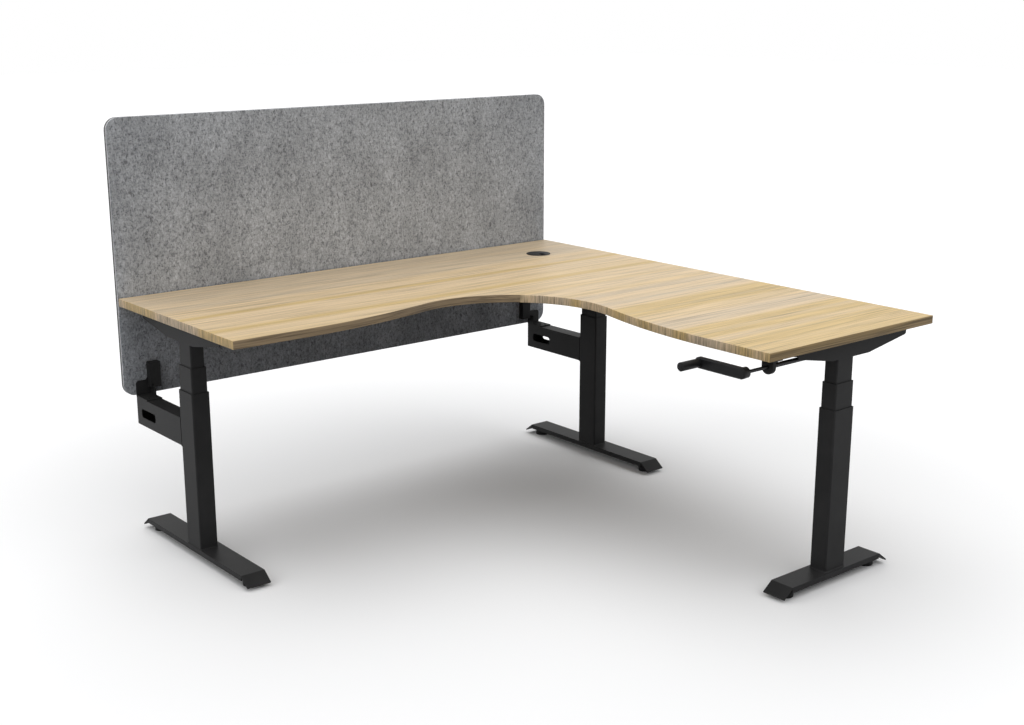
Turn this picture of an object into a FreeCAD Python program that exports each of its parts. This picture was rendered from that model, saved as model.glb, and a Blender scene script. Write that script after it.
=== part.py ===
import FreeCAD, Part
import os
import re
import Sketcher

# Height-adjustable corner desk: a wave-edged corner top on three telescopic legs,
# raised by one hand crank through synchronising rods, with a felt screen that
# stands on the two fixed columns along the back.
# Millimetres, +Z up, origin on the floor under the middle of the overall box.
# The screen stands along +Y, the return wing runs along the +X side.

document = FreeCAD.newDocument("corner_desk")

# Driving sizes, one plain number each
sizes = {
    "topLength": 1800,
    "topDepth": 1800,
    "topHeight": 790,
    "boardThickness": 25,
    "wingDepth": 750,
    "bayInset": 76.5,
    "bayRadius": 333,
    "endRun": 234,
    "grommetInset": 230,
    "grommetHole": 80,
    "grommetFlange": 90,
    "grommetRim": 2,
    "grommetDepth": 22,
    "grommetLedge": 3,
    "capDiameter": 72,
    "capThickness": 4,
    "capNotch": 22,
    "screenGap": 5,
    "screenFace": 8,
    "screenBack": 11,
    "screenDrop": 328,
    "screenRise": 571,
    "screenCorner": 40,
    "leftInset": 70,
    "cornerInset": 53,
    "returnInset": 76,
    "legSetback": 350,
    "returnSetback": 346,
    "footLength": 702,
    "returnFootLength": 492,
    "footWidth": 80,
    "footTop": 42,
    "footSheet": 4,
    "footFlange": 17,
    "slopeRun": 37,
    "slopeDrop": 28,
    "footShiftAlong": 10,
    "footShiftAcross": 8,
    "padDiameter": 48,
    "padThickness": 18,
    "padInset": 17,
    "stemDiameter": 10,
    "bossDiameter": 22,
    "bossHeight": 14,
    "columnDepth": 90,
    "columnWidth": 60,
    "columnWall": 2,
    "columnCorner": 5,
    "stageGap": 1.5,
    "outerDrop": 241,
    "middleDrop": 161,
    "middleRise": 87,
    "innerRise": 168,
    "glideHeight": 40,
    "runningGap": 0.3,
    "bracketLength": 507,
    "bracketFlat": 169,
    "bracketDepth": 62,
    "bracketEndDepth": 32,
    "bracketShift": 21,
    "bracketLean": 12,
    "bracketSheet": 3,
    "bracketCorner": 9,
    "shaftDrop": 41,
    "shaftDiameter": 14,
    "shaftHole": 18,
    "housingLength": 60,
    "housingHeight": 50,
    "housingBore": 18,
    "junctionSize": 70,
    "railWidth": 40,
    "railHeight": 25,
    "railWall": 2,
    "railSpread": 65,
    "armWidth": 54,
    "armHeight": 91,
    "armDrop": 333,
    "armWall": 3,
    "slotLength": 99,
    "slotHeight": 29,
    "slotCorner": 10,
    "slotInset": 82,
    "clipReachLeft": 79,
    "clipReachCorner": 99,
    "clipSheet": 4,
    "clipFoot": 77,
    "clipShoulder": 52,
    "clipCorner": 12,
    "clipRelief": 10,
    "gussetDepth": 35,
    "gussetHeight": 38,
    "tabTop": 112,
    "tabBottom": 28,
    "tabWidth": 38,
    "tabDepth": 24,
    "tabCorner": 4,
    "crankReach": 155,
    "crankHeight": 33,
    "crankThickness": 18,
    "crankEase": 4,
    "crankClear": 15,
    "hubDiameter": 32,
    "hubLength": 9,
    "rodDiameter": 10,
    "gripDiameter": 26,
    "gripLength": 76,
    "gripEase": 5,
    "gripPin": 10,
    "hangerInset": 88,
    "hangerRadius": 21,
    "hangerThickness": 14,
    "hangerFlange": 44,
    "hangerPlate": 20,
    "endFlat": 0.5,
}

# Places and lengths that follow from the driving sizes
derived = {
    "screenDepth": "screenFace + screenBack",
    "outerEdge": "topLength / 2",
    "frontEnd": "-(topDepth + screenGap + screenDepth) / 2",
    "backEdge": "frontEnd + topDepth",
    "underside": "topHeight - boardThickness",
    "mainFront": "backEdge - wingDepth",
    "returnInner": "outerEdge - wingDepth",
    "waveRun": "min(topLength; topDepth) - wingDepth + bayInset - bayRadius - endRun",
    "waveReach": "(waveRun * waveRun + bayInset * bayInset) / (2 * bayInset)",
    "waveRadius": "waveReach - bayRadius",
    "bayX": "outerEdge - wingDepth + bayInset - bayRadius",
    "bayY": "backEdge - wingDepth + bayInset - bayRadius",
    "waveShare": "bayRadius / waveReach",
    "joinAcross": "waveRun * waveShare",
    "joinAlong": "(waveReach - bayInset) * waveShare",
    "grommetX": "outerEdge - grommetInset",
    "grommetY": "backEdge - grommetInset",
    "screenFront": "backEdge + screenGap",
    "screenBottom": "topHeight - screenDrop",
    "screenHeight": "screenDrop + screenRise",
    "leftX": "-outerEdge + leftInset",
    "cornerX": "outerEdge - cornerInset",
    "returnX": "outerEdge - returnSetback",
    "mainY": "backEdge - legSetback",
    "returnY": "frontEnd + returnInset",
    "slopeLength": "sqrt(slopeRun * slopeRun + slopeDrop * slopeDrop)",
    "tipAlong": "footSheet * slopeDrop / slopeLength",
    "tipDown": "footSheet * slopeRun / slopeLength",
    "bendCut": "footSheet * (slopeLength - slopeRun) / slopeDrop",
    "stageStep": "2 * (columnWall + stageGap)",
    "middleDepth": "columnDepth - stageStep",
    "middleWidth": "columnWidth - stageStep",
    "innerDepth": "middleDepth - stageStep",
    "innerWidth": "middleWidth - stageStep",
    "outerTop": "topHeight - outerDrop",
    "middleTop": "topHeight - middleDrop",
    "middleBottom": "footTop + middleRise",
    "innerBottom": "footTop + innerRise",
    "bracketWidth": "innerWidth + 2 * bracketSheet",
    "innerTop": "underside - bracketSheet",
    "shaftHeight": "underside - shaftDrop",
    "shaftBore": "shaftDiameter + 2 * runningGap",
    "stemBore": "stemDiameter + 2 * runningGap",
    "armTop": "topHeight - armDrop",
    "armBottom": "armTop - armHeight",
    "armStart": "mainY + columnDepth / 2",
    "armLength": "screenFront - armStart",
    "crankX": "returnInner - crankClear",
    "hangerX": "returnInner + hangerInset",
}

sheet = document.addObject("Spreadsheet::Sheet", "Sizes")
places = document.addObject("Spreadsheet::Sheet", "Places")
homes = dict.fromkeys(sizes, "Sizes.") | dict.fromkeys(derived, "Places.")


def qualified(expression):
    return re.sub(r"[A-Za-z]\w*", lambda word: homes.get(word.group(), "") + word.group(), str(expression))


for row, (alias, value) in enumerate(sizes.items(), start=1):
    sheet.set(f"A{row}", alias)
    sheet.set(f"B{row}", str(value))
    sheet.setAlias(f"B{row}", alias)
document.recompute()
for row, (alias, formula) in enumerate(derived.items(), start=1):
    places.set(f"A{row}", alias)
    places.set(f"B{row}", "=" + qualified(formula))
    places.setAlias(f"B{row}", alias)
document.recompute()


def number(expression):
    return float(sheet.evalExpression(qualified(expression)))


def bind(item, path, expression):
    item.setExpression(path, qualified(expression))


def put(item, spot, turn=0, axis=(0, 0, 1)):
    item.Placement = FreeCAD.Placement(FreeCAD.Vector(), FreeCAD.Rotation(FreeCAD.Vector(*axis), turn))
    for letter, expression in zip("xyz", spot):
        bind(item, f"Placement.Base.{letter}", expression)
    return item


# Small makers of features, each size bound to the sheet
def new_body(label):
    item = document.addObject("PartDesign::Body", label)
    item.Label = label
    return item


def new_sketch(body, plane, offset="0"):
    sketch = body.newObject("Sketcher::SketchObject", f"{body.Name}_sketch")
    support = [feature for feature in body.Origin.OriginFeatures if feature.Role == f"{plane}_Plane"]
    sketch.AttachmentSupport = [(support[0], "")]
    sketch.MapMode = "FlatFace"
    bind(sketch, "AttachmentOffset.Base.z", offset)
    return sketch


def fix_point(sketch, geometry, point, spot):
    for kind, expression in zip(("DistanceX", "DistanceY"), spot):
        rule = Sketcher.Constraint(kind, -1, 1, geometry, point, number(expression))
        bind(sketch, f"Constraints[{sketch.addConstraint(rule)}]", expression)


def fix_radius(sketch, geometry, expression):
    rule = Sketcher.Constraint("Radius", geometry, number(expression))
    bind(sketch, f"Constraints[{sketch.addConstraint(rule)}]", expression)


def vector(spot):
    return FreeCAD.Vector(number(spot[0]), number(spot[1]), 0)


def add_outline(sketch, corners):
    first = sketch.GeometryCount
    count = len(corners)
    for i in range(count):
        sketch.addGeometry(Part.LineSegment(vector(corners[i]), vector(corners[(i + 1) % count])))
    for i in range(count):
        sketch.addConstraint(Sketcher.Constraint("Coincident", first + i, 2, first + (i + 1) % count, 1))
        fix_point(sketch, first + i, 1, corners[i])


def add_rectangle(sketch, width, height, centre=("0", "0")):
    left, right = (f"{centre[0]} {sign} ({width}) / 2" for sign in "-+")
    low, high = (f"{centre[1]} {sign} ({height}) / 2" for sign in "-+")
    add_outline(sketch, [(left, low), (right, low), (right, high), (left, high)])


def add_hexagon(sketch, radius, centre):
    half = f"{radius} / 2"
    rise = f"{radius} * sqrt(3) / 2"
    corners = [(radius, "0"), (half, rise), (f"-{half}", rise),
               (f"-{radius}", "0"), (f"-{half}", f"-{rise}"), (half, f"-{rise}")]
    add_outline(sketch, [(f"{centre[0]} + ({x})", f"{centre[1]} + ({y})") for x, y in corners])


def add_circle(sketch, radius, centre=("0", "0")):
    circle = Part.Circle(vector(centre), FreeCAD.Vector(0, 0, 1), number(radius))
    geometry = sketch.addGeometry(circle)
    fix_point(sketch, geometry, 3, centre)
    fix_radius(sketch, geometry, radius)


def extrude(kind, sketch, length, side="Symmetric", backwards=False):
    body = sketch.getParentGeoFeatureGroup()
    feature = body.newObject(f"PartDesign::{kind}", f"{body.Name}_{kind}")
    feature.Profile = sketch
    feature.SideType = side
    feature.Reversed = backwards
    bind(feature, "Length", length)
    before = body.Shape.Volume if kind == "Pocket" else 0
    document.recompute()
    if kind == "Pocket" and body.Shape.Volume >= before:
        raise RuntimeError(f"{body.Label}: a cut removes nothing")
    return feature


def soften(body, kind, size, chosen):
    base = body.Tip
    names = [f"Edge{i}" for i, edge in enumerate(base.Shape.Edges, start=1) if chosen(edge)]
    feature = body.newObject(f"PartDesign::{kind}", f"{body.Name}_{kind}")
    feature.Base = (base, names)
    bind(feature, "Radius" if kind == "Fillet" else "Size", size)
    document.recompute()
    return feature


def runs_along(edge, axis):
    if not isinstance(edge.Curve, Part.Line):
        return False
    return abs(abs(edge.Curve.Direction.dot(FreeCAD.Vector(*axis))) - 1) < 1e-6


def new_tube(label, plane, outside, wall, length, corner=None, bore_corner=None):
    body = new_body(label)
    sketch = new_sketch(body, plane)
    add_rectangle(sketch, *outside)
    add_rectangle(sketch, *(f"{side} - 2 * {wall}" for side in outside))
    extrude("Pad", sketch, length, "One side")
    middle = number(outside[0]) / 2 - number(wall) / 2
    upright = (0, 0, 1)
    if corner:
        soften(body, "Fillet", corner,
               lambda edge: runs_along(edge, upright) and abs(edge.CenterOfMass.x) > middle)
    if bore_corner:
        soften(body, "Fillet", bore_corner,
               lambda edge: runs_along(edge, upright) and abs(edge.CenterOfMass.x) < middle)
    return body


def prism(name, sides, radius, length, spot, turn=0, axis=(0, 0, 1)):
    item = document.addObject("Part::Prism", name)
    item.Label = name
    item.Polygon = sides
    bind(item, "Circumradius", radius)
    bind(item, "Height", length)
    return put(item, spot, turn, axis)


def cylinder(name, radius, height, spot, turn=0, axis=(0, 0, 1)):
    item = document.addObject("Part::Cylinder", name)
    bind(item, "Radius", radius)
    bind(item, "Height", height)
    return put(item, spot, turn, axis)


def box(name, size, corner):
    item = document.addObject("Part::Box", name)
    for side, expression in zip(("Length", "Width", "Height"), size):
        bind(item, side, expression)
    return put(item, corner)


def fuse(name, pieces):
    item = document.addObject("Part::MultiFuse", name)
    item.Shapes = pieces
    item.Label = name
    item.Refine = True
    return item


def cut(name, base, tool):
    item = document.addObject("Part::Cut", name)
    item.Base = base
    item.Tool = tool
    item.Label = name
    return item


nodes = []


def keep(item):
    nodes.append(item)
    return item


# The corner top: straight wings joined by a wave whose arcs run tangent into a round bay
def make_worktop():
    body = new_body("worktop")
    sketch = new_sketch(body, "XY")
    left_back = ("-outerEdge", "backEdge")
    left_front = ("-outerEdge", "mainFront")
    wave_start = ("bayX - waveRun", "mainFront")
    bay_start = ("bayX - joinAcross", "bayY + joinAlong")
    bay_end = ("bayX + joinAlong", "bayY - joinAcross")
    wave_end = ("returnInner", "bayY - waveRun")
    return_inner = ("returnInner", "frontEnd")
    return_outer = ("outerEdge", "frontEnd")
    right_back = ("outerEdge", "backEdge")
    bay = ("bayX", "bayY")
    main_wave = ("bayX - waveRun", "mainFront + waveRadius")
    return_wave = ("returnInner + waveRadius", "bayY - waveRun")

    def line(start, end):
        sketch.addGeometry(Part.LineSegment(vector(start), vector(end)))

    def arc(centre, radius, start, end):
        angles = []
        for spot in (start, end):
            ray = vector(spot) - vector(centre)
            angles.append(FreeCAD.Vector(1, 0, 0).getAngle(ray) * (1 if ray.y >= 0 else -1))
        ring = Part.Circle(vector(centre), FreeCAD.Vector(0, 0, 1), number(radius))
        sketch.addGeometry(Part.ArcOfCircle(ring, *angles))

    line(left_back, left_front)
    line(left_front, wave_start)
    arc(main_wave, "waveRadius", wave_start, bay_start)
    arc(bay, "bayRadius", bay_end, bay_start)
    arc(return_wave, "waveRadius", bay_end, wave_end)
    line(wave_end, return_inner)
    line(return_inner, return_outer)
    line(return_outer, right_back)
    line(right_back, left_back)
    for here, there in ((0, 1), (5, 6), (6, 7), (7, 8), (8, 0)):
        sketch.addConstraint(Sketcher.Constraint("Coincident", here, 2, there, 1))
    for here, end, there, start in ((1, 2, 2, 1), (2, 2, 3, 2), (3, 1, 4, 1), (4, 2, 5, 1)):
        sketch.addConstraint(Sketcher.Constraint("Tangent", here, end, there, start))
    for corner, spot in ((0, left_back), (1, left_front), (6, return_inner), (7, return_outer),
                         (8, right_back)):
        fix_point(sketch, corner, 1, spot)
    sketch.addConstraint(Sketcher.Constraint("Horizontal", 1))
    sketch.addConstraint(Sketcher.Constraint("Vertical", 5))
    fix_point(sketch, 3, 3, bay)
    for geometry, radius in ((2, "waveRadius"), (3, "bayRadius"), (4, "waveRadius")):
        fix_radius(sketch, geometry, radius)
    extrude("Pad", sketch, "boardThickness", "One side")
    hole = new_sketch(body, "XY", "boardThickness")
    add_circle(hole, "grommetHole / 2", ("grommetX", "grommetY"))
    extrude("Pocket", hole, "boardThickness", "One side")
    put(body, ("0", "0", "underside"))
    return keep(body)


# Cable grommet: a flanged liner in the top and a turning cap with a cable notch
def make_grommet():
    middle = ("grommetX", "grommetY")
    seat = "topHeight + grommetRim - capThickness"
    flange = cylinder("liner_flange", "grommetFlange / 2", "grommetRim", (*middle, "topHeight"))
    sleeve = cylinder("liner_sleeve", "grommetHole / 2 - runningGap", "grommetDepth",
                      (*middle, "topHeight - grommetDepth"))
    bore = cylinder("liner_bore", "capDiameter / 2 - grommetLedge", "2 * grommetDepth",
                    (*middle, "topHeight - 1.5 * grommetDepth"))
    recess = cylinder("liner_recess", "capDiameter / 2 + runningGap", "capThickness", (*middle, seat))
    liner = fuse("liner_solid", [flange, sleeve])
    keep(cut("grommet_liner", liner, fuse("liner_hollow", [bore, recess])))
    disc = cylinder("cap_disc", "capDiameter / 2", "capThickness", (*middle, seat))
    notch = ("grommetX", "grommetY - capDiameter / 4", f"{seat} - capThickness")
    gap = box("cap_gap", ("capNotch", "capDiameter", "3 * capThickness"),
              (f"{notch[0]} - capNotch / 2", f"{notch[1]} - capDiameter", notch[2]))
    end = cylinder("cap_gap_end", "capNotch / 2", "3 * capThickness", notch)
    keep(cut("grommet_cap", disc, fuse("cap_notch", [gap, end])))


# Felt screen in two bonded layers with rounded corners
def make_screen_layer(label, thickness, front):
    body = new_body(label)
    sketch = new_sketch(body, "XZ")
    add_rectangle(sketch, "topLength", "screenHeight", ("0", "screenBottom + screenHeight / 2"))
    extrude("Pad", sketch, thickness, "One side", backwards=True)
    soften(body, "Fillet", "screenCorner", lambda edge: runs_along(edge, (0, 1, 0)))
    put(body, ("0", front, "0"))
    keep(body)


# Spreading foot: a bent strip with sloped ends, side flanges and threaded bosses
def make_foot(side, length, spot, turn):
    body = new_body(f"foot_{side}")
    half = f"{length} / 2"
    top_half = f"({length} / 2 - slopeRun)"
    tip = "footTop - slopeDrop"
    strip = new_sketch(body, "XZ")
    add_outline(strip, [
        (f"-{half}", tip),
        (f"-{half} + tipAlong", f"{tip} - tipDown"),
        (f"-{top_half} + bendCut", "footTop - footSheet"),
        (f"{top_half} - bendCut", "footTop - footSheet"),
        (f"{half} - tipAlong", f"{tip} - tipDown"),
        (half, tip),
        (top_half, "footTop"),
        (f"-{top_half}", "footTop"),
    ])
    extrude("Pad", strip, "footWidth")
    flange = new_sketch(body, "XZ")
    add_rectangle(flange, f"2 * {top_half} - 2 * bendCut", "footFlange", ("0", "footTop - footFlange / 2"))
    extrude("Pad", flange, "footWidth")
    hollow = new_sketch(body, "YZ")
    hollow_top = "footTop - footSheet"
    add_rectangle(hollow, "footWidth - 2 * footSheet", "footFlange", ("0", f"{hollow_top} - footFlange / 2"))
    extrude("Pocket", hollow, f"2 * {top_half} - 2 * bendCut")
    for end in ("-", ""):
        centre = (f"{end}({top_half} - padInset)", "0")
        boss = new_sketch(body, "XY", hollow_top)
        add_hexagon(boss, "bossDiameter / 2", centre)
        extrude("Pad", boss, "bossHeight", "One side", backwards=True)
        thread = new_sketch(body, "XY", f"{hollow_top} - bossHeight")
        add_circle(thread, "stemBore / 2", centre)
        extrude("Pocket", thread, "bossHeight", "One side", backwards=True)
    put(body, spot, turn)
    return keep(body)


# Levelling foot: a round pad on a threaded stem, both drawn with few sides because six stand under the desk
pad_sides = 40
stem_sides = 12


def make_leveller(label, spot):
    pad = prism(f"{label}_pad", pad_sides, "padDiameter / 2", "padThickness", (*spot, "0"))
    stem = prism(f"{label}_stem", stem_sides, "stemDiameter / 2",
                 "footTop - footSheet - runningGap - padThickness", (*spot, "padThickness"))
    keep(fuse(label, [pad, stem]))


# One telescopic stage and the plastic glide that guides it in the stage outside it
def make_stage(label, depth, width, bottom, top, spot, turn):
    body = new_tube(label, "XY", (depth, width), "columnWall", f"{top} - {bottom}", "columnCorner")
    put(body, (*spot, bottom), turn)
    return keep(body)


def make_glide(label, depth, width, top, spot, turn):
    body = new_tube(label, "XY", (depth, width), "(stageGap - runningGap)", "glideHeight",
                    bore_corner="columnCorner")
    put(body, (*spot, f"{top} - glideHeight"), turn)
    return keep(body)


def bore_across(body, plane, centre, length, backwards):
    hole = new_sketch(body, plane)
    add_circle(hole, "shaftHole / 2", centre)
    extrude("Pocket", hole, length, "One side", backwards)


# Inverted channel under the top, tapered to both ends, that takes the head of a column
def make_bracket(label, spot, turn, rod_side, lean):
    body = new_body(label)
    profile = new_sketch(body, "XZ")
    add_outline(profile, [
        (f"{lean} - bracketLength / 2", "0"),
        (f"{lean} - bracketLength / 2", "-bracketEndDepth"),
        ("-bracketFlat / 2", "-bracketDepth"),
        ("bracketFlat / 2", "-bracketDepth"),
        (f"{lean} + bracketLength / 2", "-bracketEndDepth"),
        (f"{lean} + bracketLength / 2", "0"),
    ])
    extrude("Pad", profile, "bracketWidth")
    reach = number("bracketLength") / 2
    middle = number(lean)
    ends = lambda edge: (runs_along(edge, (0, 1, 0)) and abs(edge.CenterOfMass.x - middle) > reach - 1
                         and edge.CenterOfMass.z < -1)
    soften(body, "Fillet", "bracketCorner", ends)
    channel = new_sketch(body, "YZ")
    add_rectangle(channel, "innerWidth", "bracketDepth", ("0", "-bracketSheet - bracketDepth / 2"))
    extrude("Pocket", channel, "2 * bracketLength")
    bore_across(body, "XZ", ("-bracketShift", "-shaftDrop"), "bracketWidth", rod_side == "-y")
    put(body, spot, turn)
    return keep(body)


# Bevel gear housing in the head of a column, with a blind bore for each shaft
def make_housing(label, size, spot, turn, bores):
    body = new_body(label)
    block = new_sketch(body, "XY")
    add_rectangle(block, size[0], size[1])
    extrude("Pad", block, size[2], "One side")
    centre = "shaftHeight - (" + spot[2] + ")"
    planes = {"-x": ("YZ", "-", size[0]), "+x": ("YZ", "", size[0]),
              "-y": ("XZ", "", size[1]), "+y": ("XZ", "-", size[1])}
    for direction in bores:
        plane, sign, span = planes[direction]
        hole = new_sketch(body, plane, f"{sign}({span}) / 2")
        add_circle(hole, "shaftBore / 2", ("0", centre))
        extrude("Pocket", hole, "housingBore", "One side", backwards=sign == "-")
    put(body, spot, turn)
    return keep(body)


# One leg: foot with two levellers, three stages with glides, top bracket and gear housing
def make_leg(side, x, y, turn, foot_length, foot_along, foot_across, bores, lean="0"):
    spot = (x, y)
    foot_spot = {90: (f"{x} + {foot_across}", f"{y} + {foot_along}"), 0: (x, y)}[turn]
    make_foot(side, foot_length, (*foot_spot, "0"), turn)
    top_half = f"({foot_length} / 2 - slopeRun - padInset)"
    for end, sign in (("front", "-"), ("back", "+")) if turn else (("inner", "-"), ("outer", "+")):
        along = {90: (foot_spot[0], f"{foot_spot[1]} {sign} {top_half}"),
                 0: (f"{foot_spot[0]} {sign} {top_half}", foot_spot[1])}[turn]
        make_leveller(f"leveller_{side}_{end}", along)
    make_stage(f"outer_column_{side}", "columnDepth", "columnWidth", "footTop", "outerTop", spot, turn)
    make_glide(f"outer_glide_{side}", "columnDepth - 2 * columnWall", "columnWidth - 2 * columnWall",
               "outerTop", spot, turn)
    make_stage(f"middle_column_{side}", "middleDepth", "middleWidth", "middleBottom", "middleTop", spot, turn)
    make_glide(f"middle_glide_{side}", "middleDepth - 2 * columnWall", "middleWidth - 2 * columnWall",
               "middleTop", spot, turn)
    inner = make_stage(f"inner_column_{side}", "innerDepth", "innerWidth", "innerBottom", "innerTop",
                       spot, turn)
    for direction in bores:
        plane = {"x": "YZ", "y": "XZ"}[direction[1]]
        bore_across(inner, plane, ("0", "shaftHeight - innerBottom"), "innerDepth", direction in ("-y", "+x"))
    shift = {90: (x, f"{y} + bracketShift"), 0: (f"{x} + bracketShift", y)}[turn]
    make_bracket(f"top_bracket_{side}", (*shift, "underside"), turn, bores[-1], lean)
    make_housing(f"gear_housing_{side}", ("housingLength", "innerWidth - 2 * columnWall", "housingHeight"),
                 (x, y, "shaftHeight - housingHeight / 2"), turn, bores)


# Arm from a fixed column back to the screen, a closed box section with a cable slot
def make_arm(side, x):
    body = new_body(f"arm_{side}")
    section = new_sketch(body, "XZ")
    add_rectangle(section, "armWidth", "armHeight", ("armWidth / 2", "armHeight / 2"))
    extrude("Pad", section, "armLength", "One side", backwards=True)
    hollow = new_sketch(body, "XZ")
    add_rectangle(hollow, "armWidth - 2 * armWall", "armHeight - 2 * armWall",
                  ("armWidth / 2", "armHeight / 2"))
    extrude("Pocket", hollow, "armLength - armWall", "One side")
    slot = new_sketch(body, "YZ")
    add_rectangle(slot, "slotLength", "slotHeight", ("armLength - slotInset", "armHeight / 2 - armWall"))
    extrude("Pocket", slot, "3 * armWidth")
    low = number("armLength - slotInset - slotLength")
    high = number("armLength - slotInset + slotLength")
    corners = lambda edge: (runs_along(edge, (1, 0, 0)) and edge.Length < 2 * number("armWall")
                            and low < edge.CenterOfMass.y < high)
    soften(body, "Fillet", "slotCorner", corners)
    put(body, (f"{x} - columnWidth / 2", "armStart", "armBottom"))
    keep(body)


# Clip that stands on an arm and holds the screen: a plate with a raised tab, and a foot
def make_clip(side, x, reach, way, start):
    body = new_body(f"screen_clip_{side}")
    plate = new_sketch(body, "XZ")
    add_outline(plate, [
        ("0", "0"),
        (f"{way} * armWidth", "0"),
        (f"{way} * armWidth", "tabBottom"),
        (f"{way} * {reach}", "tabBottom"),
        (f"{way} * {reach}", "tabTop"),
        (f"{way} * ({reach} - tabWidth)", "tabTop"),
        (f"{way} * ({reach} - tabWidth)", "clipShoulder"),
        ("0", "clipShoulder"),
    ])
    extrude("Pad", plate, "clipSheet", "One side")
    tab = new_sketch(body, "XZ")
    add_rectangle(tab, "tabWidth", "tabTop - tabBottom",
                  (f"{way} * ({reach} - tabWidth / 2)", "(tabTop + tabBottom) / 2"))
    extrude("Pad", tab, "tabDepth", "One side")
    inset = number(f"{reach} - tabWidth")
    rounds = (("clipCorner", 0, "clipShoulder"), ("clipRelief", inset, "clipShoulder"),
              ("tabCorner", inset, "tabTop"))
    for radius, across, height in rounds:
        level = number(height)
        soften(body, "Fillet", radius, lambda edge: runs_along(edge, (0, 1, 0))
               and abs(abs(edge.CenterOfMass.x) - across) < 1 and abs(edge.CenterOfMass.z - level) < 1)
    hollow = new_sketch(body, "XZ", "clipSheet")
    add_rectangle(hollow, "tabWidth - 2 * clipSheet", "tabTop - tabBottom",
                  (f"{way} * ({reach} - tabWidth / 2)", "(tabTop + tabBottom) / 2 - clipSheet"))
    extrude("Pocket", hollow, "tabDepth - 2 * clipSheet", "One side", backwards=True)
    foot = new_sketch(body, "XZ")
    add_rectangle(foot, "armWidth", "clipSheet", (f"{way} * armWidth / 2", "clipSheet / 2"))
    extrude("Pad", foot, "clipFoot", "One side")
    gusset = new_sketch(body, "YZ", f"{way} * armWidth")
    add_rectangle(gusset, "gussetDepth", "gussetHeight", ("-gussetDepth / 2", "gussetHeight / 2"))
    extrude("Pad", gusset, "clipSheet", "One side", backwards=way == "1")
    put(body, (f"{x} - columnWidth / 2 + {start}", "screenFront", "armTop"))
    keep(body)


# Rails under the top between the brackets
def make_rail(label, plane, length, spot):
    body = new_tube(label, plane, ("railWidth", "railHeight"), "railWall", length)
    put(body, spot)
    keep(body)


def make_rails():
    main_start = "leftX + bracketWidth / 2"
    main_length = "cornerX - leftX - bracketWidth"
    height = "underside - railHeight / 2"
    for name, sign in (("front", "-"), ("back", "+")):
        make_rail(f"rail_main_{name}", "YZ", main_length, (main_start, f"mainY {sign} railSpread", height))
    return_start = "mainY - railSpread - railWidth / 2"
    return_length = f"{return_start} - returnY - bracketWidth / 2"
    for name, sign in (("inner", "-"), ("outer", "+")):
        make_rail(f"rail_return_{name}", "XZ", return_length,
                  (f"returnX {sign} railSpread", return_start, height))


# Hexagon rods that turn the three gear housings together
rod_sides = 6


def make_rod(label, length, spot, turn, axis):
    keep(prism(label, rod_sides, "shaftDiameter / 2", length, spot, turn, axis))


def make_drive():
    make_housing("junction_housing", ("junctionSize", "junctionSize", "shaftDrop + housingHeight / 2"),
                 ("returnX", "mainY", "shaftHeight - housingHeight / 2"), 0, ("-x", "+x", "-y"))
    into_leg = "innerWidth / 2 - columnWall - housingBore + runningGap"
    into_junction = "junctionSize / 2 - housingBore + runningGap"
    make_rod("sync_rod_left", f"returnX - ({into_junction}) - leftX - ({into_leg})",
             (f"leftX + {into_leg}", "mainY", "shaftHeight"), 90, (0, 1, 0))
    make_rod("sync_rod_corner", f"cornerX - ({into_leg}) - returnX - ({into_junction})",
             (f"returnX + {into_junction}", "mainY", "shaftHeight"), 90, (0, 1, 0))
    make_rod("sync_rod_return", f"mainY - ({into_junction}) - returnY - ({into_leg})",
             ("returnX", f"returnY + {into_leg}", "shaftHeight"), -90, (1, 0, 0))


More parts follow.
